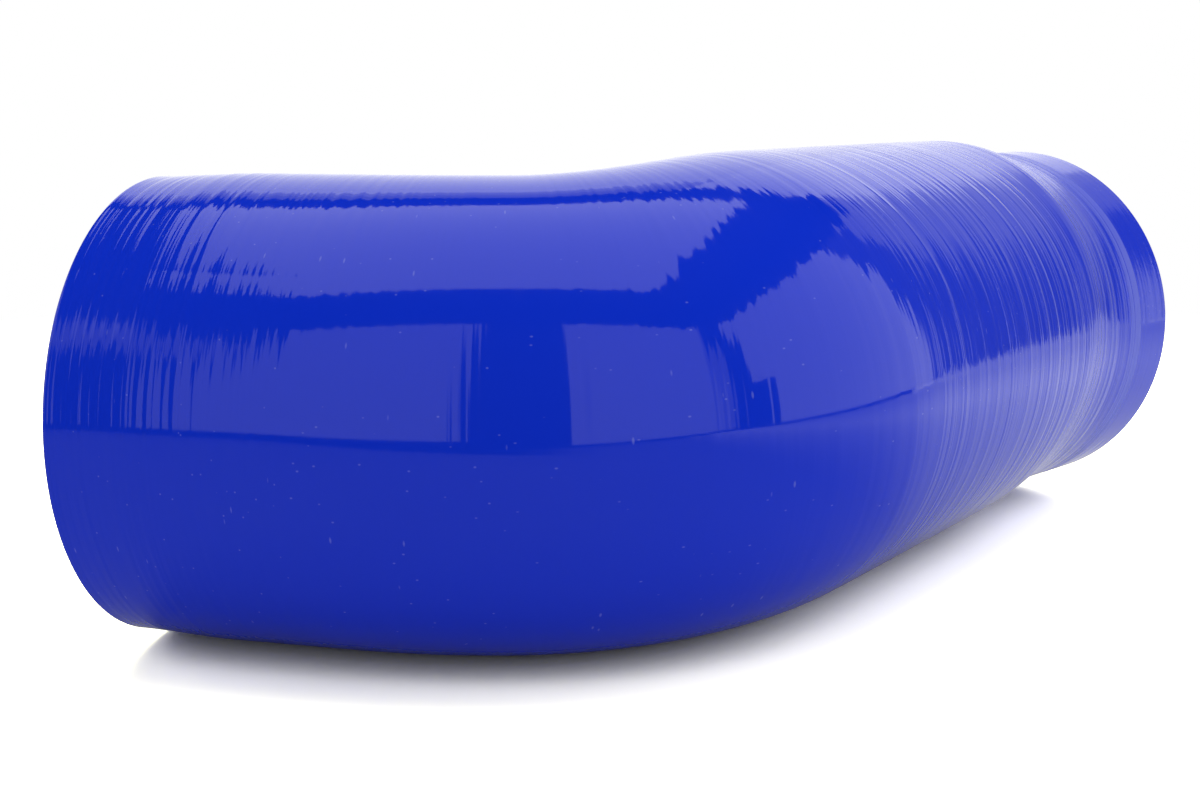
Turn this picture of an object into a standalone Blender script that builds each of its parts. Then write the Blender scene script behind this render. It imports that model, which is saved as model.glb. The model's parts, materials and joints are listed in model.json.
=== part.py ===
"""Airbox hose: one moulded silicone tube with an elbow, a slight return bend and a narrower cuff.

Metres, +Z up. The middle run lies along +X, the short leg comes in from +Y, and the
underside rests on z = 0. The origin is at the bottom centre of the bounding box.
"""
import math

import bmesh
import bpy
from mathutils import Matrix, Vector

# Driving dimensions: bores and wall
MOUTH_BORE = 0.080            # inside diameter at the cut mouth of the short leg
LEG_BORE = 0.0816             # inside diameter of the short leg behind its mouth
MIDDLE_BORE = 0.0852          # inside diameter of the swollen middle run
CUFF_BORE = 0.078             # inside diameter of the narrower cuff
WALL = 0.0045                 # four wrapped plies
EDGE_ROUND = 0.0004           # softened corners of both cut ends

# Driving dimensions: lengths along the centreline, from the mouth to the cuff
LEG_LENGTH = 0.044
MIDDLE_LENGTH = 0.078
END_LENGTH = 0.0325           # straight stretch behind the return bend, cuff included
CUFF_STEP_LENGTH = 0.038      # stretch over which the body narrows to the cuff
CUFF_STEP_EASE = 0.12         # share of that stretch that rounds each of its ends
CUFF_LENGTH = 0.0185
DRAW_IN_LENGTH = 0.021        # stretch over which the mouth narrows
SWELL_LENGTH = 0.056          # stretch over which the leg widens to the middle run

# Driving dimensions: bends
LEAD_BEND_ANGLE = math.radians(15.0)
LEAD_BEND_RADIUS = 0.100      # centreline radius of the slow bend before the elbow
ELBOW_ANGLE = math.radians(52.5)
ELBOW_INSIDE_RADIUS = 0.006   # radius of the elbow's inner side, outside the wall
RETURN_BEND_ANGLE = math.radians(10.0)
RETURN_BEND_RADIUS = 0.165

# Facets
SIDES = 48
STATION_STEP = 0.0095         # longest distance between two sections on a straight run
STATION_TURN = math.radians(5.0)
STEP_STATION = 0.0042         # longest distance between two sections along the cuff step
ROUND_SEGMENTS = 2
CORNER_ANGLE = math.radians(60.0)
SHARP_ANGLE = math.radians(40.0)

# Values worked out from the driving dimensions
ELBOW_RADIUS = ELBOW_INSIDE_RADIUS + max(LEG_BORE, MIDDLE_BORE) / 2 + WALL
START_HEADING = -(LEAD_BEND_ANGLE + ELBOW_ANGLE)
ELBOW_START = LEG_LENGTH + LEAD_BEND_RADIUS * LEAD_BEND_ANGLE

# Each stretch of the route: its length, the angle it turns to the left, its longest section
ROUTE = (
    (LEG_LENGTH, 0.0, STATION_STEP),
    (LEAD_BEND_RADIUS * LEAD_BEND_ANGLE, LEAD_BEND_ANGLE, STATION_STEP),
    (ELBOW_RADIUS * ELBOW_ANGLE, ELBOW_ANGLE, STATION_STEP),
    (MIDDLE_LENGTH, 0.0, STATION_STEP),
    (RETURN_BEND_RADIUS * RETURN_BEND_ANGLE, -RETURN_BEND_ANGLE, STEP_STATION),
    (END_LENGTH, 0.0, STEP_STATION),
)
HOSE_LENGTH = sum(length for length, _, _ in ROUTE)
STEP_START = HOSE_LENGTH - CUFF_LENGTH - CUFF_STEP_LENGTH


def smooth_step(t):
    """Ease from 0 to 1 while t goes from 0 to 1."""
    t = min(max(t, 0.0), 1.0)
    return t * t * (3.0 - 2.0 * t)


def smooth_slope(t):
    """Slope of smooth_step at t."""
    t = min(max(t, 0.0), 1.0)
    return 6.0 * t * (1.0 - t)


def eased_ramp(t, ease):
    """Climb from 0 to 1 at one slope while t goes from 0 to 1, with both ends rounded."""
    t = min(max(t, 0.0), 1.0)
    if t < ease:
        return t * t / (2.0 * ease * (1.0 - ease))
    if t > 1.0 - ease:
        return 1.0 - (1.0 - t) ** 2 / (2.0 * ease * (1.0 - ease))
    return (t - ease / 2.0) / (1.0 - ease)


def body_radius(s):
    """Outside radius of the plain body, without the drawn-in mouth and the cuff."""
    swell = (MIDDLE_BORE - LEG_BORE) / 2 * smooth_step((s - ELBOW_START) / SWELL_LENGTH)
    return LEG_BORE / 2 + WALL + swell


def outside_radius(s):
    """Outside radius of the finished hose at the distance s along the centreline."""
    draw_in = (LEG_BORE - MOUTH_BORE) / 2 * (1.0 - smooth_step(s / DRAW_IN_LENGTH))
    body = body_radius(s) - draw_in
    cuff = CUFF_BORE / 2 + WALL
    return body + (cuff - body) * eased_ramp((s - STEP_START) / CUFF_STEP_LENGTH, CUFF_STEP_EASE)


def bore_radius(s):
    """Inside radius: the wall has one thickness all along."""
    return outside_radius(s) - WALL


def plan_point(s):
    """Position and heading of the centreline in plan at the distance s from the mouth."""
    place = Vector((0.0, 0.0))
    heading = START_HEADING
    for length, turn, _ in ROUTE:
        run = min(s, length)
        if turn:
            bend = turn * run / length
            chord = 2.0 * length / turn * math.sin(bend / 2.0)
            middle = heading + bend / 2.0
            place += chord * Vector((math.cos(middle), math.sin(middle)))
            heading += bend
        else:
            place += run * Vector((math.cos(heading), math.sin(heading)))
        s -= run
        if s <= 0.0:
            break
    return place, heading


def section_frame(s):
    """Matrix that carries a circle in XY onto the hose's section at the distance s."""
    place, heading = plan_point(s)
    rise = (MIDDLE_BORE - LEG_BORE) / 2 / SWELL_LENGTH
    rise *= smooth_slope((s - ELBOW_START) / SWELL_LENGTH)
    along = Vector((math.cos(heading), math.sin(heading), rise)).normalized()
    side = along.cross(Vector((0.0, 0.0, 1.0))).normalized()
    up = side.cross(along)
    frame = Matrix((side, up, -along)).transposed().to_4x4()
    frame.translation = (place.x, place.y, body_radius(s))
    return frame


def section(s, radius):
    """The section's frame, scaled to a radius."""
    return section_frame(s) @ Matrix.Scale(radius, 4)


def stations():
    """Distances from the mouth at which the hose has a section."""
    marks = [0.0]
    for length, turn, longest in ROUTE:
        count = max(math.ceil(length / longest), math.ceil(abs(turn) / STATION_TURN))
        start = marks[-1]
        marks += [start + length * k / count for k in range(1, count + 1)]
    return marks


def draw_on(bm, edges, start, end):
    """Extrude a ring of edges and move the new ring from one section to another."""
    grown = bmesh.ops.extrude_edge_only(bm, edges=edges)["geom"]
    ring = [item for item in grown if isinstance(item, bmesh.types.BMVert)]
    bmesh.ops.transform(bm, matrix=end @ start.inverted(), verts=ring)
    return [item for item in grown if isinstance(item, bmesh.types.BMEdge)]


def build_hose_mesh():
    """Sweep the outside from mouth to cuff, turn in over the wall and sweep the bore back."""
    marks = stations()
    outside = [section(s, outside_radius(s)) for s in marks]
    bore = [section(s, bore_radius(s)) for s in reversed(marks)]
    path = outside + bore
    bm = bmesh.new()
    bmesh.ops.create_circle(bm, segments=SIDES, radius=1.0, matrix=path[0])
    first = bm.edges[:]
    edges = first
    for start, end in zip(path, path[1:]):
        edges = draw_on(bm, edges, start, end)
    bmesh.ops.bridge_loops(bm, edges=first + edges)
    bmesh.ops.recalc_face_normals(bm, faces=bm.faces[:])
    corners = [edge for edge in bm.edges if edge.calc_face_angle() > CORNER_ANGLE]
    bmesh.ops.bevel(bm, geom=corners, affect='EDGES', offset=min(EDGE_ROUND, WALL / 4),
                    segments=ROUND_SEGMENTS, profile=0.5, material=-1)
    return bm


def centre_on_floor(bm):
    """Move the hose so that the origin is at the bottom centre of its bounding box."""
    low = Vector([min(v.co[k] for v in bm.verts) for k in range(3)])
    high = Vector([max(v.co[k] for v in bm.verts) for k in range(3)])
    middle = (low + high) / 2
    bmesh.ops.translate(bm, vec=(-middle.x, -middle.y, -low.z), verts=bm.verts[:])


def silicone_material():
    """Glossy deep blue silicone."""
    material = bpy.data.materials.new("blue_silicone")
    material.use_nodes = True
    shader = material.node_tree.nodes["Principled BSDF"]
    shader.inputs["Base Color"].default_value = (0.004, 0.029, 0.578, 1.0)
    shader.inputs["Roughness"].default_value = 0.12
    shader.inputs["Metallic"].default_value = 0.0
    return material


def clear_scene():
    """Remove every object of the start scene."""
    for item in list(bpy.data.objects):
        bpy.data.objects.remove(item, do_unlink=True)


def main():
    """Build the hose as one object."""
    clear_scene()
    bm = build_hose_mesh()
    centre_on_floor(bm)
    mesh = bpy.data.meshes.new("airbox_hose")
    bm.to_mesh(mesh)
    bm.free()
    mesh.shade_smooth()
    mesh.set_sharp_from_angle(angle=SHARP_ANGLE)
    mesh.materials.append(silicone_material())
    hose = bpy.data.objects.new("airbox_hose", mesh)
    bpy.context.scene.collection.objects.link(hose)


main()
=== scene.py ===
"""Airbox hose: the glossy wrapped silicone, and the light tent that it lies in.

Metres, +Z up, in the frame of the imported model. The hose is one swept piece with the rings
that the wrapping tape leaves. Sizes that a user would change are in the sidebar panel.
"""
import json
import math

import bmesh
import bpy
from bpy.props import FloatProperty, FloatVectorProperty, IntProperty, PointerProperty, StringProperty
from mathutils import Matrix, Vector, noise


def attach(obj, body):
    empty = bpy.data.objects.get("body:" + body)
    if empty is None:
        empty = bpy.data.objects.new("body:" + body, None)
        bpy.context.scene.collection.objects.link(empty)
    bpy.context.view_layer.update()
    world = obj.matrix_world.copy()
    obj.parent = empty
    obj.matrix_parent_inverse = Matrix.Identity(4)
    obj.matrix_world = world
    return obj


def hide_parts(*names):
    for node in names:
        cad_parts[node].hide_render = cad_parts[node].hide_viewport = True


bl_info = {
    "name": "Airbox hose",
    "version": (1, 0, 0),
    "blender": (4, 5, 0),
    "location": "3D View > Sidebar > Airbox hose",
    "description": "Builds a wrapped silicone airbox hose and a light tent round it",
    "category": "Add Mesh",
}

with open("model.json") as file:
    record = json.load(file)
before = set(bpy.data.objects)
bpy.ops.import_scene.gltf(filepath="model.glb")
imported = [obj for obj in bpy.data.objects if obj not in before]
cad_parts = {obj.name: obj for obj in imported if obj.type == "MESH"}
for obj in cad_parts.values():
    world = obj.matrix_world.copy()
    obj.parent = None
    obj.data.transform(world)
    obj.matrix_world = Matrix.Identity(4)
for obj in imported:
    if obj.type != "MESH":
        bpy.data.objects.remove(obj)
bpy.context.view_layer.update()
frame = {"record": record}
MOUTH_PLACE = Vector(frame["record"]["mounts"][0]["pos_m"])

# The hose's dimensions, as in the part's source
MOUTH_BORE = 0.080
LEG_BORE = 0.0816
MIDDLE_BORE = 0.0852
CUFF_BORE = 0.078
WALL = 0.0045
LEG_LENGTH = 0.044
MIDDLE_LENGTH = 0.078
END_LENGTH = 0.0325
CUFF_STEP_TOP = 0.022           # length of the step to the cuff on top; the part's is 38 mm all round
CUFF_STEP_BOTTOM = 0.050        # the same below
CUFF_STEP_EASE = 0.30           # share of the step that rounds each of its ends
CUFF_LENGTH = 0.0185
DRAW_IN_LENGTH = 0.021
SWELL_LENGTH = 0.056
LEAD_BEND_ANGLE = math.radians(15.0)
LEAD_BEND_RADIUS = 0.100
ELBOW_ANGLE = math.radians(52.5)
ELBOW_INSIDE_RADIUS = 0.006
RETURN_BEND_ANGLE = math.radians(10.0)
RETURN_BEND_RADIUS = 0.165

ELBOW_RADIUS = ELBOW_INSIDE_RADIUS + max(LEG_BORE, MIDDLE_BORE) / 2 + WALL
START_HEADING = -(LEAD_BEND_ANGLE + ELBOW_ANGLE)
ELBOW_START = LEG_LENGTH + LEAD_BEND_RADIUS * LEAD_BEND_ANGLE

# Each stretch of the route: its length and the angle that it turns to the left
ROUTE = (
    (LEG_LENGTH, 0.0),
    (LEAD_BEND_RADIUS * LEAD_BEND_ANGLE, LEAD_BEND_ANGLE),
    (ELBOW_RADIUS * ELBOW_ANGLE, ELBOW_ANGLE),
    (MIDDLE_LENGTH, 0.0),
    (RETURN_BEND_RADIUS * RETURN_BEND_ANGLE, -RETURN_BEND_ANGLE),
    (END_LENGTH, 0.0),
)
HOSE_LENGTH = sum(length for length, _ in ROUTE)
STEP_END = HOSE_LENGTH - CUFF_LENGTH

# How deeply the wrapping tape marked the hose: distance from the mouth, share
WRAP_MARKS = ((0.0, 0.85), (0.016, 0.70), (0.026, 0.38), (0.034, 0.26), (0.100, 0.30), (0.125, 0.60),
              (0.160, 0.80), (0.237, 0.80), (0.243, 0.25), (HOSE_LENGTH, 0.25))

# How much of the gloss the tape took: distance from the mouth, share
WRAP_HAZE = ((0.0, 0.10), (0.090, 0.12), (0.150, 0.30), (0.205, 0.48), (0.231, 0.80), (0.239, 1.5),
             (0.244, 1.5), (0.247, 0.55), (HOSE_LENGTH, 0.55))

# The mesh
WIDE_ACROSS, WIDE_ALONG = 0.7, 0.45  # scales of the wider layer of ridges
WIDE_SHIFT = 7.0                # moves it off the first layer's pattern
WIDE_WEIGHT = 0.7
PLAIN_END = 0.002               # the ridges fade in over this distance from each cut end
SAME_SECTION = 1e-6             # points closer than this along the hose are on one section
CORNER_ANGLE = math.radians(60.0)
ROUND_SEGMENTS = 3

# Noises on the straightened hose: run round the hose, spacing along it, weight
RING_LAYERS = ((0.250, 0.0030, 1.0), (0.160, 0.0015, 1.0), (0.100, 0.0008, 0.60))
BAND_LAYERS = ((0.250, 0.0030, 0.6), (0.200, 0.0012, 0.4))
DRIFT_LAYERS = ((0.060, 0.020, 0.035),)
PLY_WANDER = ((0.006, 0.006, 0.0004),)
BLADE_LAYERS = ((0.0003, 0.0003, 1.0),)
PEEL_LAYERS = ((0.003, 0.003, 1.0), (0.001, 0.001, 0.3))
RING_DEPTH = 0.00016
BLADE_DEPTH = 0.00003
PEEL_DEPTH = 0.00005
DRIFT_MIDDLE = 0.017            # usual value of the drift, taken off to keep the roughness about its value

# Specks: sides of a cell across and along the hose, radius as a share of the cell, share of cells kept
DUST = ((0.0022, 0.0022, 0.0022), 0.095, 0.60)
LINT = ((0.0100, 0.0100, 0.0022), 0.075, 0.60)
SPECK_SHARE = 0.22              # how much of the dust's colour shows in a speck
PAINTED_SHEEN_SHARE = 0.22              # how much of it is painted on the dullest rings as a pale sheen
PLY_SPACING = 0.0011

# The floor
FLOOR_SIZE = 3.0                # half its side
PAINTED_SHADE_REACH = 0.016           # the paper is painted darker, as shade, within this distance of the hose

# The paper as the camera sees it: overexposed, and painted warm to cancel the blue light that the hose
# throws on its shadow
PAPER_SEEN = (3.65, 3.55, 2.40)
BOUNCE_GREY = 0.80              # the paper as it lights the hose from below
FRONT_GREY = 0.03               # what lies in front of the paper's edge, in the hose's mirror image

# The tent's panels: name, two opposite corners in tent reaches along its own axes, radiance.
# The walls stand 1 reach away, the back wall 1.2, and the ceiling is at 1.5.
TENT_PANELS = (
    ("ceiling_front", (-0.96, -0.60, 1.50), (0.60, -0.27, 1.50), 1.40),
    ("ceiling_back", (-0.855, -0.27, 1.50), (0.60, 0.915, 1.50), 1.40),
    ("front_left_panel", (-1.0, -1.0, 0.06), (-0.165, -1.0, 1.27), 0.80),
    ("front_right_panel", (0.20, -1.0, 0.025), (1.0, -1.0, 1.27), 0.90),
    ("right_front_strip", (1.0, -1.0, 0.025), (1.0, -0.91, 1.27), 0.55),
    ("right_low_panel", (1.0, -0.65, 0.025), (1.0, 0.15, 0.40), 1.15),
    ("right_panel", (1.0, -0.78, 0.40), (1.0, 0.15, 1.11), 1.15),
    ("right_back_panel", (1.0, 0.15, 0.0), (1.0, 0.36, 1.11), 1.15),
    ("right_gap", (1.0, 0.36, 0.0), (1.0, 0.74, 1.11), 0.08),
    ("back_right_side", (1.0, 0.74, 0.0), (1.0, 1.2, 1.11), 0.45),
    ("back_right_corner", (0.78, 1.2, 0.0), (1.0, 1.2, 1.11), 0.50),
    ("back_panel", (0.30, 1.2, 0.0), (0.78, 1.2, 1.42), 1.12),
    ("back_left_panel", (-1.0, 1.2, 0.0), (0.30, 1.2, 1.11), 1.03),
    ("back_low_strip", (-1.0, 1.2, 1.11), (0.30, 1.2, 1.21), 1.10),
    ("back_middle_strip", (-1.0, 1.2, 1.21), (0.30, 1.2, 1.33), 0.60),
    ("back_top_strip", (-1.0, 1.2, 1.33), (0.30, 1.2, 1.47), 0.40),
    ("left_panel", (-1.0, -0.53, 0.025), (-1.0, 0.36, 0.80), 0.9),
    ("left_strip", (-1.0, -0.93, 0.68), (-1.0, -0.53, 0.92), 0.55),
)

# Softboxes above and to the right that light the blue without a mirror image
FILL_PANELS = (
    ("top_fill", (-0.90, -0.75, 1.47), (0.90, 1.05, 1.47), 0.42),
    ("right_fill", (0.98, -0.60, 0.025), (0.98, 0.90, 1.2), 0.20),
)

# The black cloth round the panels, in tent reaches
FLAGS_SIZE = (2.2, 2.4, 1.65)
FLAGS_PLACE = (0.0, 0.1, 0.8)
WORLD_LEVEL = 0.05


class HoseSettings(bpy.types.PropertyGroup):
    """Fineness of the hose's mesh and depth of its rings."""
    sides: IntProperty(name="Sides", description="Faces around the hose", default=192, min=24, max=256)
    section_step: FloatProperty(name="Section step", description="Distance between two swept sections",
                                default=0.0063, min=0.002, max=0.02, unit='LENGTH', precision=5)
    section_cuts: IntProperty(name="Section cuts", default=8, min=0, max=12,
                              description="Rings added between two sections of the outside")
    ridge_height: FloatProperty(name="Ridge height", default=0.000050, min=0.0, max=0.0005, unit='LENGTH',
                                description="Height of the ridges left by the wrapping tape", precision=6)
    ridge_spacing: FloatProperty(name="Ridge spacing", description="Usual distance between two ridges",
                                 default=0.0019, min=0.001, max=0.02, unit='LENGTH', precision=5)
    ridge_run: FloatProperty(name="Ridge run", default=0.160, min=0.01, max=1.0, unit='LENGTH',
                             description="Length that a ridge keeps its height round the hose")
    edge_round: FloatProperty(name="Edge round", description="Rounding of the cut ends' corners",
                              default=0.0004, min=0.0, max=0.001, unit='LENGTH', precision=5)


class FinishSettings(bpy.types.PropertyGroup):
    """Colours and gloss of the silicone."""
    outside_hex: StringProperty(name="Outside", description="sRGB colour of the outside", default="#0E31D1")
    cut_hex: StringProperty(name="Cut ends", description="sRGB colour of the cut faces", default="#1B37BC")
    ply_hex: StringProperty(name="Plies", description="sRGB colour of the fabric plies in the cut faces",
                            default="#5A72D2")
    bore_hex: StringProperty(name="Bore", description="sRGB colour of the bore", default="#0E2CB4")
    # The dust's colour is also painted on the dullest rings as a sheen
    dust_and_sheen_hex: StringProperty(name="Dust", description="sRGB colour of dust and lint", default="#A9B2EA")
    ior: FloatProperty(name="IOR", description="Refractive index of the silicone", default=1.41,
                       min=1.0, max=2.0)
    gloss: FloatProperty(name="Roughness", description="Roughness where the tape left the gloss",
                         default=0.045, min=0.0, max=1.0, subtype='FACTOR')
    hazy_gloss: FloatProperty(name="Hazy roughness", description="Roughness where the tape took the gloss",
                              default=0.20, min=0.0, max=1.0, subtype='FACTOR')


class StudioSettings(bpy.types.PropertyGroup):
    """Camera, lamps and floor."""
    camera_place: FloatVectorProperty(name="Camera", description="Place of the camera",
                                      default=(MOUTH_PLACE.x - 0.19536, MOUTH_PLACE.y - 0.24608, 0.1045),
                                      subtype='XYZ', unit='LENGTH')
    heading: FloatProperty(name="Heading", description="Turn of the camera and the tent about the vertical",
                           default=math.radians(-54.2), subtype='ANGLE')
    tilt: FloatProperty(name="Tilt", description="Tilt of the camera, 90 degrees being level",
                        default=math.radians(79.0), subtype='ANGLE')
    lens: FloatProperty(name="Lens", description="Focal length in mm on a 36 mm sensor", default=46.5,
                        min=10.0)
    tent_reach: FloatProperty(name="Tent", description="Distance from the hose to the tent's walls",
                              default=0.75, min=0.5, max=2.0, unit='LENGTH')
    level: FloatProperty(name="Light level", description="Factor on all lamps", default=1.15, min=0.0)
    floor_grey: FloatProperty(name="Floor grey", description="Brightness of the floor that the hose mirrors",
                              default=0.42, min=0.0, max=1.0, subtype='FACTOR')
    near_glow: FloatProperty(name="Near glow", default=0.36, min=0.0, max=3.0,
                             description="Brightness of the mirrored floor just to the right of the hose")
    right_glow: FloatProperty(name="Right glow", default=1.20, min=0.0, max=3.0,
                              description="Brightness of the mirrored floor farther to the right")


def smooth_step(t):
    """Ease from 0 to 1 while t goes from 0 to 1."""
    t = min(max(t, 0.0), 1.0)
    return t * t * (3.0 - 2.0 * t)


def smooth_slope(t):
    """Slope of smooth_step at t."""
    t = min(max(t, 0.0), 1.0)
    return 6.0 * t * (1.0 - t)


def eased_ramp(t, ease):
    """Climb from 0 to 1 at one slope while t goes from 0 to 1, with both ends rounded."""
    t = min(max(t, 0.0), 1.0)
    if t < ease:
        return t * t / (2.0 * ease * (1.0 - ease))
    if t > 1.0 - ease:
        return 1.0 - (1.0 - t) ** 2 / (2.0 * ease * (1.0 - ease))
    return (t - ease / 2.0) / (1.0 - ease)


def body_radius(s):
    """Outside radius of the plain body, without the drawn-in mouth and the cuff."""
    swell = (MIDDLE_BORE - LEG_BORE) / 2 * smooth_step((s - ELBOW_START) / SWELL_LENGTH)
    return LEG_BORE / 2 + WALL + swell


def outside_radius(s, up=0.0):
    """Outside radius at the distance s along the hose; up is 1 on top, -1 below and 0 at both sides."""
    draw_in = (LEG_BORE - MOUTH_BORE) / 2 * (1.0 - smooth_step(s / DRAW_IN_LENGTH))
    body = body_radius(s) - draw_in
    cuff = CUFF_BORE / 2 + WALL
    step_length = (CUFF_STEP_TOP + CUFF_STEP_BOTTOM) / 2 + up * (CUFF_STEP_TOP - CUFF_STEP_BOTTOM) / 2
    return body + (cuff - body) * eased_ramp((s - STEP_END) / step_length + 1.0, CUFF_STEP_EASE)


def plan_point(s):
    """Position and heading of the centreline in plan at the distance s from the mouth."""
    place = Vector((0.0, 0.0))
    heading = START_HEADING
    for length, turn in ROUTE:
        run = min(s, length)
        if turn:
            bend = turn * run / length
            chord = 2.0 * length / turn * math.sin(bend / 2.0)
            middle = heading + bend / 2.0
            place += chord * Vector((math.cos(middle), math.sin(middle)))
            heading += bend
        else:
            place += run * Vector((math.cos(heading), math.sin(heading)))
        s -= run
        if s <= 0.0:
            break
    return place, heading


def section_frame(s):
    """Matrix that carries a circle in XY onto the hose's section at the distance s."""
    place, heading = plan_point(s)
    rise = (MIDDLE_BORE - LEG_BORE) / 2 / SWELL_LENGTH
    rise *= smooth_slope((s - ELBOW_START) / SWELL_LENGTH)
    along = Vector((math.cos(heading), math.sin(heading), rise)).normalized()
    side = along.cross(Vector((0.0, 0.0, 1.0))).normalized()
    up = side.cross(along)
    section = Matrix((side, up, -along)).transposed().to_4x4()
    section.translation = (place.x + MOUTH_PLACE.x, place.y + MOUTH_PLACE.y, body_radius(s))
    return section


def marks_along(step):
    """Distances from the mouth of evenly spaced sections."""
    count = math.ceil(HOSE_LENGTH / step)
    return [HOSE_LENGTH * k / count for k in range(count + 1)]


def share_at(table, s):
    """Share that a table of distances and shares gives at the distance s."""
    for (start, low), (end, high) in zip(table, table[1:]):
        if s <= end:
            return low + (high - low) * (s - start) / (end - start)
    return table[-1][1]


def ridge(angle, s, settings):
    """Height, about -1 to 1, of the tape's ridges at an angle round the hose and a distance s."""
    around = outside_radius(s) / settings.ridge_run
    spot = Vector((math.cos(angle) * around, math.sin(angle) * around, s / settings.ridge_spacing))
    wide = Vector((spot.x * WIDE_ACROSS, spot.y * WIDE_ACROSS, spot.z * WIDE_ALONG + WIDE_SHIFT))
    return noise.noise(spot) + WIDE_WEIGHT * noise.noise(wide)


def draw_on(bm, edges, start, end):
    """Extrude a ring of edges and move the new ring from one section to another."""
    grown = bmesh.ops.extrude_edge_only(bm, edges=edges)["geom"]
    ring = [item for item in grown if isinstance(item, bmesh.types.BMVert)]
    bmesh.ops.transform(bm, matrix=end @ start.inverted(), verts=ring)
    return ring, [item for item in grown if isinstance(item, bmesh.types.BMEdge)]


def sweep_hose(bm, straight, settings):
    """Sweep the outside from mouth to cuff, turn in over the wall, sweep the bore back and join it."""
    marks = marks_along(settings.section_step)
    path = [(s, outside_radius(s)) for s in marks] + [(s, outside_radius(s) - WALL) for s in reversed(marks)]
    sections = [section_frame(s) @ Matrix.Scale(radius, 4) for s, radius in path]
    ring = bmesh.ops.create_circle(bm, segments=settings.sides, radius=1.0, matrix=sections[0])["verts"]
    first = bm.edges[:]
    edges = first
    rings = [ring]
    for start, end in zip(sections, sections[1:]):
        ring, edges = draw_on(bm, edges, start, end)
        rings.append(ring)
    for (s, radius), section, ring in zip(path, sections, rings):
        back = section.inverted()
        for vert in ring:
            flat = back @ vert.co
            vert[straight] = (flat.x * radius, flat.y * radius, s)
    paint_faces(bm, len(marks) - 1, settings.sides)
    mouth = bmesh.ops.bridge_loops(bm, edges=first + edges)["faces"]
    for face in mouth:
        face.material_index = 1
    bmesh.ops.recalc_face_normals(bm, faces=bm.faces[:])


def paint_faces(bm, stretches, sides):
    """Material 0 on the outside, 1 on the cuff's cut end and 2 in the bore, in the order of the sweep."""
    for index, face in enumerate(bm.faces):
        stretch = index // sides
        face.material_index = 0 if stretch < stretches else 1 if stretch == stretches else 2


def refine_outside(bm, straight, share, settings):
    """Cut the outside finely along the hose and set each point on its curve, with the tape's ridges."""
    along = [edge for edge in bm.edges if edge.link_faces[0].material_index == 0
             and abs(edge.verts[0][straight].z - edge.verts[1][straight].z) > SAME_SECTION]
    bmesh.ops.subdivide_edges(bm, edges=along, cuts=settings.section_cuts, use_grid_fill=True)
    sections = {}
    for vert in {vert for face in bm.faces if face.material_index == 0 for vert in face.verts}:
        s = vert[straight].z
        key = round(s, 7)
        if key not in sections:
            near_end = min(s, HOSE_LENGTH - s) / PLAIN_END
            depth = settings.ridge_height * share_at(WRAP_MARKS, s) * smooth_step(near_end)
            sections[key] = (section_frame(s), depth)
        section, depth = sections[key]
        angle = math.atan2(vert[straight].y, vert[straight].x)
        radius = outside_radius(s, math.sin(angle))
        grown = radius + depth * ridge(angle, s, settings)
        vert.co = section @ Vector((grown * math.cos(angle), grown * math.sin(angle), 0.0))
        vert[straight] = (radius * math.cos(angle), radius * math.sin(angle), s)
        vert[share] = share_at(WRAP_MARKS, s)


def build_hose_mesh(settings):
    """The hose's mesh, with its place on the straightened hose kept as an attribute."""
    bm = bmesh.new()
    straight = bm.verts.layers.float_vector.new("straight_hose")
    share = bm.verts.layers.float.new("wrap_share")
    haze = bm.verts.layers.float.new("wrap_haze")
    sweep_hose(bm, straight, settings)
    refine_outside(bm, straight, share, settings)
    for vert in bm.verts:
        vert[haze] = share_at(WRAP_HAZE, vert[straight].z)
    corners = [edge for edge in bm.edges if edge.calc_face_angle() > CORNER_ANGLE]
    bmesh.ops.bevel(bm, geom=corners, affect='EDGES', offset=settings.edge_round,
                    segments=ROUND_SEGMENTS, profile=0.5, material=-1)
    return bm


def linear(hex_colour):
    """Linear RGBA of an sRGB colour such as #0D2FC8."""
    channels = [int(hex_colour[k:k + 2], 16) / 255.0 for k in (1, 3, 5)]
    return tuple(c / 12.92 if c <= 0.04045 else ((c + 0.055) / 1.055) ** 2.4 for c in channels) + (1.0,)


def add_node(tree, kind, settings=None, **links):
    """Add a node with its properties and socket values, and link its inputs; _1 is input number 1."""
    node = tree.nodes.new(kind)

    def socket(name):
        return node.inputs[int(name[1:])] if name[0] == "_" else node.inputs[name]

    for name, value in (settings or {}).items():
        if hasattr(node, name):
            setattr(node, name, value)
        else:
            socket(name).default_value = value
    for name, source in links.items():
        tree.links.new(source, socket(name))
    return node


def new_material(name, hex_colour, roughness, ior):
    """A plain Principled material, and its tree and shader."""
    material = bpy.data.materials.new(name)
    material.use_nodes = True
    shader = material.node_tree.nodes["Principled BSDF"]
    shader.inputs["Base Color"].default_value = linear(hex_colour)
    shader.inputs["Roughness"].default_value = roughness
    shader.inputs["IOR"].default_value = ior
    return material, material.node_tree, shader


def straight_place(tree):
    """Place on the straightened hose in metres: X and Y across its section, Z along it."""
    return add_node(tree, "ShaderNodeAttribute", {"attribute_name": "straight_hose"}).outputs["Vector"]


def layered_noise(tree, place, layers):
    """Sum of noises on a place in metres, each with its run round the hose, spacing and weight."""
    total = None
    for run, spacing, weight in layers:
        scaled = add_node(tree, "ShaderNodeMapping", {"Scale": (1 / run, 1 / run, 1 / spacing)},
                          Vector=place)
        value = add_node(tree, "ShaderNodeTexNoise", {"Scale": 1.0, "Detail": 1.0, "Roughness": 0.5},
                         Vector=scaled.outputs["Vector"]).outputs["Fac"]
        layer = add_node(tree, "ShaderNodeMath", {"operation": 'MULTIPLY', "_1": weight}, _0=value)
        if total:
            layer = add_node(tree, "ShaderNodeMath", {"operation": 'ADD'},
                             _0=total, _1=layer.outputs["Value"])
        total = layer.outputs["Value"]
    return total


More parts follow.
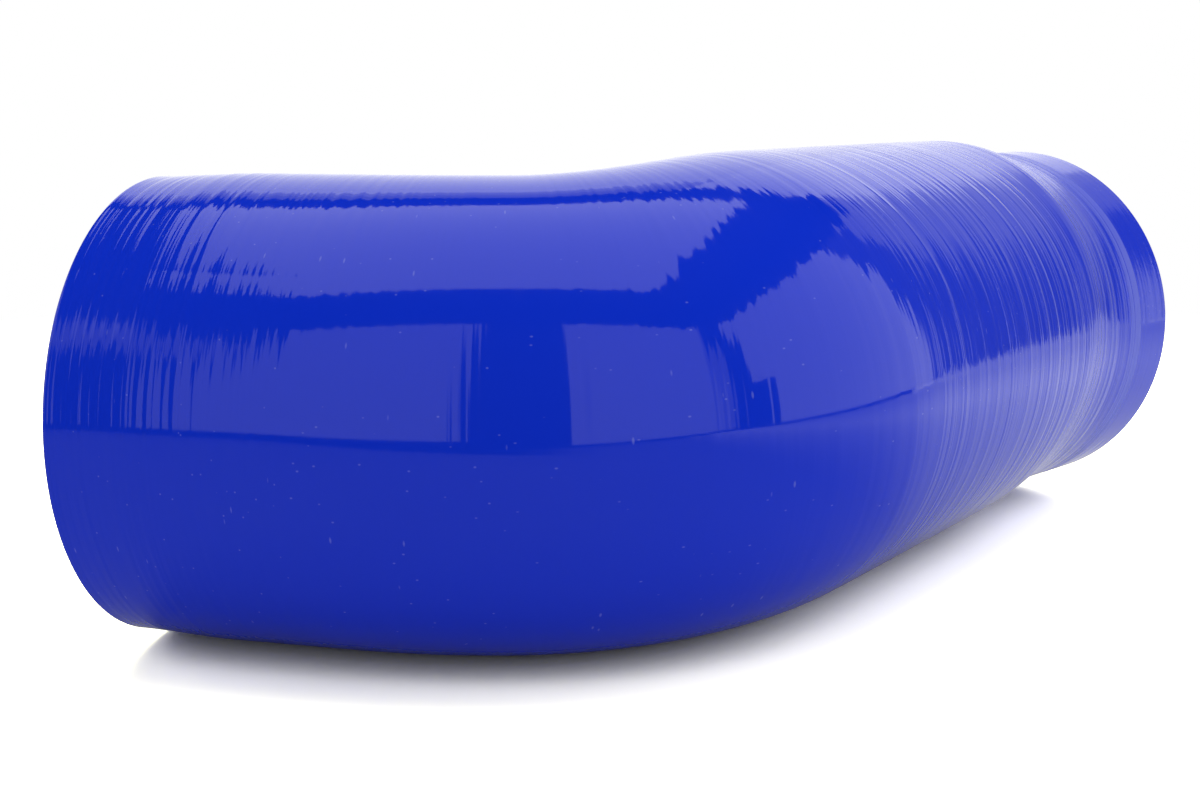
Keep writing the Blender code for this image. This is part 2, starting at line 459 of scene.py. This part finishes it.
def specks(tree, place, cell, radius, kept):
    """Mask of specks: the sides of a cell in metres, their radius as a share of it, share of cells kept."""
    scaled = add_node(tree, "ShaderNodeMapping", {"Scale": tuple(1 / side for side in cell)}, Vector=place)
    cells = add_node(tree, "ShaderNodeTexVoronoi", {"Scale": 1.0, "Randomness": 1.0},
                     Vector=scaled.outputs["Vector"])
    spot = add_node(tree, "ShaderNodeMapRange", {"From Min": radius, "From Max": radius * 0.4},
                    Value=cells.outputs["Distance"])
    random = add_node(tree, "ShaderNodeSeparateColor", None, Color=cells.outputs["Color"]).outputs["Red"]
    chosen = add_node(tree, "ShaderNodeMath", {"operation": 'LESS_THAN', "_1": kept}, _0=random)
    return add_node(tree, "ShaderNodeMath", {"operation": 'MULTIPLY'},
                    _0=spot.outputs["Result"], _1=chosen.outputs["Value"]).outputs["Value"]


def mix_colours(tree, first, second, share):
    """Mix two linear colours by a share."""
    return add_node(tree, "ShaderNodeMix", {"data_type": 'RGBA', "_6": first, "_7": second},
                    Factor=share).outputs[2]


def wrapped_silicone(finish):
    """Silicone rubber cured under wrapping tape: deep glossy blue, ruffled by fine rings round the hose."""
    material, tree, shader = new_material("wrapped_silicone", finish.outside_hex, finish.gloss, finish.ior)
    straight = straight_place(tree)
    share = add_node(tree, "ShaderNodeAttribute", {"attribute_name": "wrap_share"}).outputs["Fac"]
    haze = add_node(tree, "ShaderNodeAttribute", {"attribute_name": "wrap_haze"}).outputs["Fac"]

    # Rings 0.8 to 3 mm apart that run on for 100 to 250 mm round the hose before they fade
    height = layered_noise(tree, straight, RING_LAYERS)
    marked = add_node(tree, "ShaderNodeMath", {"operation": 'MULTIPLY'}, _0=height, _1=share)
    rings = add_node(tree, "ShaderNodeBump", {"Strength": 1.0, "Distance": RING_DEPTH},
                     Height=marked.outputs["Value"])
    tree.links.new(rings.outputs["Normal"], shader.inputs["Normal"])

    # The tape took some gloss between the elbow and the cuff, in rings 1 to 3 mm wide
    bands = layered_noise(tree, straight, BAND_LAYERS)
    banded = add_node(tree, "ShaderNodeMapRange", {"From Min": 0.36, "From Max": 0.64,
                                                   "To Min": 0.20, "To Max": 1.9}, Value=bands)
    dulled = add_node(tree, "ShaderNodeMath", {"operation": 'MULTIPLY'},
                      _0=haze, _1=banded.outputs["Result"])
    base = add_node(tree, "ShaderNodeMapRange", {"clamp": False, "To Min": finish.gloss - DRIFT_MIDDLE,
                                                 "To Max": finish.hazy_gloss - DRIFT_MIDDLE},
                    Value=dulled.outputs["Value"])

    # The gloss drifts over 20 to 60 mm
    drift = layered_noise(tree, straight, DRIFT_LAYERS)
    gloss = add_node(tree, "ShaderNodeMath", {"operation": 'ADD'}, _0=base.outputs["Result"], _1=drift)
    tree.links.new(gloss.outputs["Value"], shader.inputs["Roughness"])

    # Dust 0.3 mm across, and lint 0.2 mm wide and 1 mm long, lie faintly on the glossy blue
    dust = specks(tree, straight, *DUST)
    lint = specks(tree, straight, *LINT)
    both = add_node(tree, "ShaderNodeMath", {"operation": 'MAXIMUM'}, _0=dust, _1=lint)
    faint = add_node(tree, "ShaderNodeMath", {"operation": 'MULTIPLY', "_1": SPECK_SHARE},
                     _0=both.outputs["Value"])

    # Painted sheen: the dust's pale colour on the dullest rings, standing in for the light that they catch
    painted_sheen = add_node(tree, "ShaderNodeMapRange", {"From Min": 0.9, "From Max": 2.3, "To Max": PAINTED_SHEEN_SHARE},
                     Value=dulled.outputs["Value"])
    pale = add_node(tree, "ShaderNodeMath", {"operation": 'MAXIMUM'}, _0=faint.outputs["Value"],
                    _1=painted_sheen.outputs["Result"])
    colour = mix_colours(tree, linear(finish.outside_hex), linear(finish.dust_and_sheen_hex), pale.outputs["Value"])
    tree.links.new(colour, shader.inputs["Base Color"])
    return material


def cut_silicone(finish):
    """Silicone rubber cut with a blade: satin, with four fabric plies as paler lines 1.1 mm apart."""
    material, tree, shader = new_material("cut_silicone", finish.cut_hex, 0.42, finish.ior)
    straight = straight_place(tree)
    flat = add_node(tree, "ShaderNodeVectorMath", {"operation": 'MULTIPLY', "_1": (1.0, 1.0, 0.0)},
                    _0=straight)
    radius = add_node(tree, "ShaderNodeVectorMath", {"operation": 'LENGTH'}, _0=flat.outputs["Vector"])
    wander = layered_noise(tree, straight, PLY_WANDER)
    place = add_node(tree, "ShaderNodeMath", {"operation": 'ADD'}, _0=radius.outputs["Value"], _1=wander)
    turns = add_node(tree, "ShaderNodeMath", {"operation": 'MULTIPLY', "_1": 2 * math.pi / PLY_SPACING},
                     _0=place.outputs["Value"])
    wave = add_node(tree, "ShaderNodeMath", {"operation": 'SINE'}, _0=turns.outputs["Value"])
    ply = add_node(tree, "ShaderNodeMapRange", {"From Min": 0.55, "From Max": 0.95, "To Max": 0.45},
                   Value=wave.outputs["Value"])
    colour = mix_colours(tree, linear(finish.cut_hex), linear(finish.ply_hex), ply.outputs["Result"])
    tree.links.new(colour, shader.inputs["Base Color"])

    # The blade leaves grooves about 0.3 mm apart
    grain = layered_noise(tree, straight, BLADE_LAYERS)
    bump = add_node(tree, "ShaderNodeBump", {"Strength": 0.5, "Distance": BLADE_DEPTH}, Height=grain)
    tree.links.new(bump.outputs["Normal"], shader.inputs["Normal"])
    return material


def moulded_silicone(finish):
    """Silicone rubber cured on a mandrel: half glossy, with a soft orange peel about 3 mm across."""
    material, tree, shader = new_material("moulded_silicone", finish.bore_hex, 0.25, finish.ior)
    peel = layered_noise(tree, straight_place(tree), PEEL_LAYERS)
    bump = add_node(tree, "ShaderNodeBump", {"Strength": 0.4, "Distance": PEEL_DEPTH}, Height=peel)
    tree.links.new(bump.outputs["Normal"], shader.inputs["Normal"])
    gloss = add_node(tree, "ShaderNodeMapRange", {"To Min": 0.20, "To Max": 0.32}, Value=peel)
    tree.links.new(gloss.outputs["Result"], shader.inputs["Roughness"])
    return material


class AIRBOXHOSE_OT_hose(bpy.types.Operator):
    """Build the hose, one piece from the mouth to the cuff"""
    bl_idname = "airboxhose.hose"
    bl_label = "Hose"

    def execute(self, context):
        bm = build_hose_mesh(context.scene.hose_settings)
        mesh = bpy.data.meshes.new("wrapped_hose")
        bm.to_mesh(mesh)
        bm.free()
        mesh.shade_smooth()
        finish = context.scene.finish_settings
        for make in (wrapped_silicone, cut_silicone, moulded_silicone):
            mesh.materials.append(make(finish))
        hose = bpy.data.objects.new("wrapped_hose", mesh)
        context.scene.collection.objects.link(hose)
        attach(hose, "root")
        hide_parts("airbox_hose")
        return {'FINISHED'}


def tent_matrix(settings):
    """The tent's own axes: X to the camera's right, Y away from the camera, Z up."""
    return Matrix.Rotation(settings.heading, 4, 'Z')


def add_panel(scene, name, low, high, radiance, settings):
    """A flat glowing panel between two corners of the tent's frame, facing the hose."""
    middle = (low + high) / 2
    size = high - low
    thin = min(range(3), key=lambda k: size[k])
    normal = Vector((0.0, 0.0, 0.0))
    normal[thin] = -1.0 if middle[thin] > 0 else 1.0
    lamp = bpy.data.lights.new(name, 'AREA')
    lamp.shape = 'RECTANGLE'
    wide, tall = [(1, 2), (0, 2), (0, 1)][thin]
    lamp.size, lamp.size_y = size[wide], size[tall]
    lamp.energy = radiance * settings.level * math.pi * lamp.size * lamp.size_y
    panel = bpy.data.objects.new(name, lamp)
    across = Vector([1.0 if k == wide else 0.0 for k in range(3)])
    turn = Matrix((across, (-normal).cross(across), -normal)).transposed().to_4x4()
    panel.matrix_world = tent_matrix(settings) @ Matrix.Translation(middle) @ turn
    panel.visible_camera = False
    scene.collection.objects.link(panel)
    return panel


class AIRBOXHOSE_OT_studio(bpy.types.Operator):
    """Set up the floor, the light tent and the camera"""
    bl_idname = "airboxhose.studio"
    bl_label = "Studio"

    def execute(self, context):
        scene = context.scene
        settings = scene.studio_settings
        add_floor(scene, settings)
        add_tent(scene, settings)
        add_flags(scene, settings)
        set_world(scene)
        add_camera(scene, settings)
        scene.view_settings.view_transform = 'Standard'
        return {'FINISHED'}


def seen_paper(tree, place, painted_shade_factor):
    """What the camera sees: overexposed paper with the hose's shadow, deepened near the hose by a painted
    contact shade, and pure white farther away.
    """
    # Painted shade: the paper's colour is darkened near the hose
    shade = add_node(tree, "ShaderNodeVectorMath", {"operation": 'SCALE', "_0": PAPER_SEEN},
                     Scale=painted_shade_factor)
    paper = add_node(tree, "ShaderNodeBsdfDiffuse", None, Color=shade.outputs["Vector"])
    glow = add_node(tree, "ShaderNodeEmission", {"Color": (1.0, 1.0, 1.0, 1.0), "Strength": 1.0})
    far = add_node(tree, "ShaderNodeVectorMath", {"operation": 'LENGTH'}, _0=place)
    fade = add_node(tree, "ShaderNodeMapRange", {"From Min": 0.25, "From Max": 0.50},
                    Value=far.outputs["Value"])
    return add_node(tree, "ShaderNodeMixShader", None, _0=fade.outputs["Result"],
                    _1=paper.outputs["BSDF"], _2=glow.outputs["Emission"]).outputs["Shader"]


def mirrored_paper(tree, place, painted_shade_factor, settings):
    """What the hose mirrors: grey paper that ends in the dark in front and glows to the right and behind."""
    turned = add_node(tree, "ShaderNodeMapping", {"vector_type": 'POINT',
                                                  "Rotation": (0.0, 0.0, -settings.heading)}, Vector=place)
    sides = add_node(tree, "ShaderNodeSeparateXYZ", None, Vector=turned.outputs["Vector"])

    # The glow grows, and then falls a little, with the distance to the right and behind
    back = add_node(tree, "ShaderNodeMath", {"operation": 'MULTIPLY_ADD', "_1": 0.6},
                    _0=sides.outputs["Y"], _2=sides.outputs["X"]).outputs["Value"]
    bright = add_node(tree, "ShaderNodeMapRange", {"From Min": -0.05, "From Max": 0.12,
                                                   "interpolation_type": 'SMOOTHSTEP'}, Value=back)
    rise = add_node(tree, "ShaderNodeMapRange", {"From Min": 0.05, "From Max": 0.30,
                                                 "To Min": settings.near_glow,
                                                 "To Max": settings.right_glow}, Value=back)
    fall = add_node(tree, "ShaderNodeMapRange", {"From Min": 0.35, "From Max": 0.60,
                                                 "To Min": 1.0, "To Max": 0.76}, Value=back)
    glow = add_node(tree, "ShaderNodeMath", {"operation": 'MULTIPLY'},
                    _0=rise.outputs["Result"], _1=fall.outputs["Result"])
    # Painted shade: the mirrored glow is darkened near the hose
    shaded = add_node(tree, "ShaderNodeMath", {"operation": 'MULTIPLY'},
                      _0=glow.outputs["Value"], _1=painted_shade_factor)
    right = add_node(tree, "ShaderNodeEmission", {"Color": (1.0, 1.0, 1.0, 1.0)},
                     Strength=shaded.outputs["Value"])
    grey = add_node(tree, "ShaderNodeBsdfDiffuse", {"Color": (settings.floor_grey,) * 3 + (1.0,)})
    lit = add_node(tree, "ShaderNodeMixShader", None, _0=bright.outputs["Result"],
                   _1=grey.outputs["BSDF"], _2=right.outputs["Emission"])

    # The paper's front edge, left of the middle
    ahead = add_node(tree, "ShaderNodeMath", {"operation": 'MULTIPLY_ADD', "_1": -0.45},
                     _0=sides.outputs["X"], _2=sides.outputs["Y"])
    edge = add_node(tree, "ShaderNodeMapRange", {"From Min": -0.49, "From Max": -0.53},
                    Value=ahead.outputs["Value"])
    left = add_node(tree, "ShaderNodeMapRange", {"From Min": 0.12, "From Max": 0.0},
                    Value=sides.outputs["X"])
    ends = add_node(tree, "ShaderNodeMath", {"operation": 'MULTIPLY'},
                    _0=edge.outputs["Result"], _1=left.outputs["Result"])
    dark = add_node(tree, "ShaderNodeBsdfDiffuse", {"Color": (FRONT_GREY,) * 3 + (1.0,)})
    return add_node(tree, "ShaderNodeMixShader", None, _0=ends.outputs["Value"],
                    _1=lit.outputs["Shader"], _2=dark.outputs["BSDF"]).outputs["Shader"]


def floor_material(settings):
    """Paper sweep: white to the camera, with the hose's shadow and a painted contact shade; uneven where the
    hose mirrors it.
    """
    material = bpy.data.materials.new("white_paper")
    material.use_nodes = True
    tree = material.node_tree
    tree.nodes.clear()
    path = add_node(tree, "ShaderNodeLightPath")
    place = add_node(tree, "ShaderNodeTexCoord").outputs["Object"]

    # Painted contact shade: darker paper in the narrow gap between the hose and the floor
    shade_occlusion = add_node(tree, "ShaderNodeAmbientOcclusion", {"Distance": PAINTED_SHADE_REACH, "samples": 8})
    painted_shade_factor = add_node(tree, "ShaderNodeMapRange", {"From Min": 0.04, "From Max": 0.36, "To Min": 0.24},
                          Value=shade_occlusion.outputs["AO"]).outputs["Result"]
    seen = seen_paper(tree, place, painted_shade_factor)
    mirrored = mirrored_paper(tree, place, painted_shade_factor, settings)

    # What lights the hose from below is pale paper all over
    bounce = add_node(tree, "ShaderNodeBsdfDiffuse", {"Color": (BOUNCE_GREY,) * 3 + (1.0,)})
    other = add_node(tree, "ShaderNodeMixShader", None, _0=path.outputs["Is Glossy Ray"],
                     _1=bounce.outputs["BSDF"], _2=mirrored)
    clear = add_node(tree, "ShaderNodeMath", {"operation": 'MAXIMUM'},
                     _0=path.outputs["Is Camera Ray"], _1=path.outputs["Is Transmission Ray"])
    shown = add_node(tree, "ShaderNodeMixShader", None, _0=clear.outputs["Value"],
                     _1=other.outputs["Shader"], _2=seen)
    add_node(tree, "ShaderNodeOutputMaterial", None, Surface=shown.outputs["Shader"])
    return material


def add_floor(scene, settings):
    """Pale floor that the hose lies on."""
    bm = bmesh.new()
    bmesh.ops.create_grid(bm, x_segments=1, y_segments=1, size=FLOOR_SIZE)
    mesh = bpy.data.meshes.new("floor")
    bm.to_mesh(mesh)
    bm.free()
    mesh.materials.append(floor_material(settings))
    floor = bpy.data.objects.new("floor", mesh)
    scene.collection.objects.link(floor)


def add_tent(scene, settings):
    """Glowing panels on four walls and the ceiling with dark gaps between them, and two soft fills."""
    reach = settings.tent_reach
    for panels, mirrored in ((TENT_PANELS, True), (FILL_PANELS, False)):
        for name, low, high, radiance in panels:
            panel = add_panel(scene, name, Vector(low) * reach, Vector(high) * reach, radiance, settings)
            panel.visible_glossy = mirrored


def add_flags(scene, settings):
    """Black cloth walls and ceiling behind the panels, which the camera sees through."""
    reach = settings.tent_reach
    bm = bmesh.new()
    size = Matrix.Diagonal((*(Vector(FLAGS_SIZE) * reach), 1.0))
    bmesh.ops.create_cube(bm, size=1.0, matrix=Matrix.Translation(Vector(FLAGS_PLACE) * reach) @ size)
    bmesh.ops.transform(bm, matrix=tent_matrix(settings), verts=bm.verts[:])
    bmesh.ops.reverse_faces(bm, faces=bm.faces[:])
    mesh = bpy.data.meshes.new("flags")
    bm.to_mesh(mesh)
    bm.free()
    # Black woven cloth: dull, so that the gaps between the panels stay dark in the hose
    mesh.materials.append(new_material("black_cloth", "#2B2B2B", 0.9, 1.45)[0])
    flags = bpy.data.objects.new("flags", mesh)
    flags.visible_camera = False
    scene.collection.objects.link(flags)


def set_world(scene):
    """White behind everything for the camera and for mirrored and clear things, dim as a light."""
    world = bpy.data.worlds.new("tent_world")
    world.use_nodes = True
    tree = world.node_tree
    tree.nodes.clear()
    path = add_node(tree, "ShaderNodeLightPath")
    clear = add_node(tree, "ShaderNodeMath", {"operation": 'MAXIMUM'},
                     _0=path.outputs["Is Glossy Ray"], _1=path.outputs["Is Transmission Ray"])
    shown = add_node(tree, "ShaderNodeMath", {"operation": 'MAXIMUM'},
                     _0=path.outputs["Is Camera Ray"], _1=clear.outputs["Value"])
    dim = add_node(tree, "ShaderNodeBackground", {"Color": (1.0, 1.0, 1.0, 1.0), "Strength": WORLD_LEVEL})
    white = add_node(tree, "ShaderNodeBackground", {"Color": (1.0, 1.0, 1.0, 1.0), "Strength": 1.0})
    mixed = add_node(tree, "ShaderNodeMixShader", None, _0=shown.outputs["Value"],
                     _1=dim.outputs["Background"], _2=white.outputs["Background"])
    add_node(tree, "ShaderNodeOutputWorld", None, Surface=mixed.outputs["Shader"])
    scene.world = world


def add_camera(scene, settings):
    """Camera at the photograph's viewing angle."""
    data = bpy.data.cameras.new("camera")
    data.sensor_width = 36.0
    data.lens = settings.lens
    data.clip_start = 0.01
    camera = bpy.data.objects.new("camera", data)
    camera.location = settings.camera_place
    camera.rotation_euler = (settings.tilt, 0.0, settings.heading)
    scene.collection.objects.link(camera)
    scene.camera = camera


class AIRBOXHOSE_PT_panel(bpy.types.Panel):
    """Sidebar panel with the hose's and the studio's settings"""
    bl_label = "Airbox hose"
    bl_idname = "AIRBOXHOSE_PT_panel"
    bl_space_type = 'VIEW_3D'
    bl_region_type = 'UI'
    bl_category = "Airbox hose"

    def draw(self, context):
        scene = context.scene
        for group in (scene.hose_settings, scene.finish_settings, scene.studio_settings):
            box = self.layout.box()
            for name in group.bl_rna.properties.keys():
                if name not in {"rna_type", "name"}:
                    box.prop(group, name)
        self.layout.operator(AIRBOXHOSE_OT_hose.bl_idname)
        self.layout.operator(AIRBOXHOSE_OT_studio.bl_idname)


CLASSES = (HoseSettings, FinishSettings, StudioSettings, AIRBOXHOSE_OT_hose, AIRBOXHOSE_OT_studio,
           AIRBOXHOSE_PT_panel)


def register():
    """Register the classes and give the scene its three groups of settings."""
    for item in CLASSES:
        bpy.utils.register_class(item)
    bpy.types.Scene.hose_settings = PointerProperty(type=HoseSettings)
    bpy.types.Scene.finish_settings = PointerProperty(type=FinishSettings)
    bpy.types.Scene.studio_settings = PointerProperty(type=StudioSettings)


def unregister():
    """Take the settings and the classes away again."""
    del bpy.types.Scene.studio_settings
    del bpy.types.Scene.finish_settings
    del bpy.types.Scene.hose_settings
    for item in reversed(CLASSES):
        bpy.utils.unregister_class(item)


def main():
    """Build the hose and its studio."""
    register()
    bpy.ops.airboxhose.hose()
    bpy.ops.airboxhose.studio()


if __name__ == "__main__":
    main()
